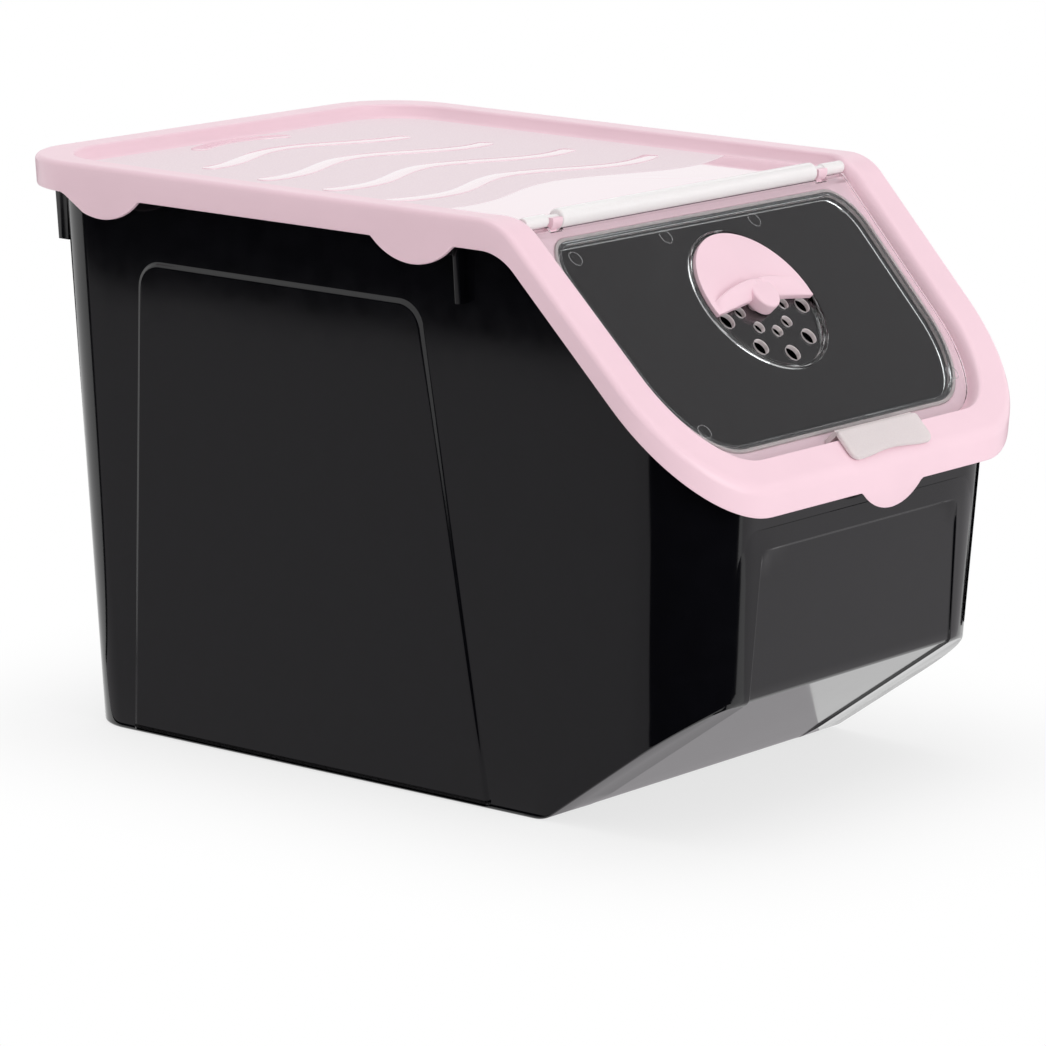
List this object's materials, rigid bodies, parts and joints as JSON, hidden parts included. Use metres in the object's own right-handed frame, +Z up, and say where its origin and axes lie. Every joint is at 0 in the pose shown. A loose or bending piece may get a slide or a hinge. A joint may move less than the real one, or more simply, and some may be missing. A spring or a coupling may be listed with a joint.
{
  "type": "vegetable storage bin",
  "caption": "Slant-front kitchen storage bin: drafted tub, lift-off lid with wavy ribs and lift tabs, hinged clear flap with a rotating vent dial, silicone seals.",
  "frame": {"origin": "on the floor, under the middle of the lid", "axes": "+Y from the sloping front to the back, +Z up, +X to the right seen from the front"},
  "size_m": [0.2476, 0.3583, 0.24],
  "materials": {
    "tub_black": "glossy black polypropylene",
    "lid_pink": "satin pale pink polypropylene",
    "flap_clear": "polished clear polystyrene",
    "seal_grey": "matte grey silicone"
  },
  "bodies": {
    "tub": {"bin_body": "tub_black"},
    "lid": {"lid_frame": "lid_pink", "lid_seal": "seal_grey"},
    "door": {"flap": "flap_clear", "flap_seal": "seal_grey"},
    "dial": {"vent_dial": "lid_pink"}
  },
  "joints": [
    {"name": "lid_lift", "type": "slide", "parent": "tub", "child": "lid", "axis": [0, 0, 1], "range_m": [0, 0.08]},
    {"name": "flap_hinge", "type": "hinge", "parent": "lid", "child": "door", "pos_m": [0, -0.0802, 0.236], "axis": [-1, 0, 0], "range_deg": [0, 150]},
    {"name": "dial_turn", "type": "hinge", "parent": "door", "child": "dial", "pos_m": [0, -0.11686, 0.19828], "axis": [0, -0.7145, 0.6997], "range_deg": [0, 180]}
  ]
}
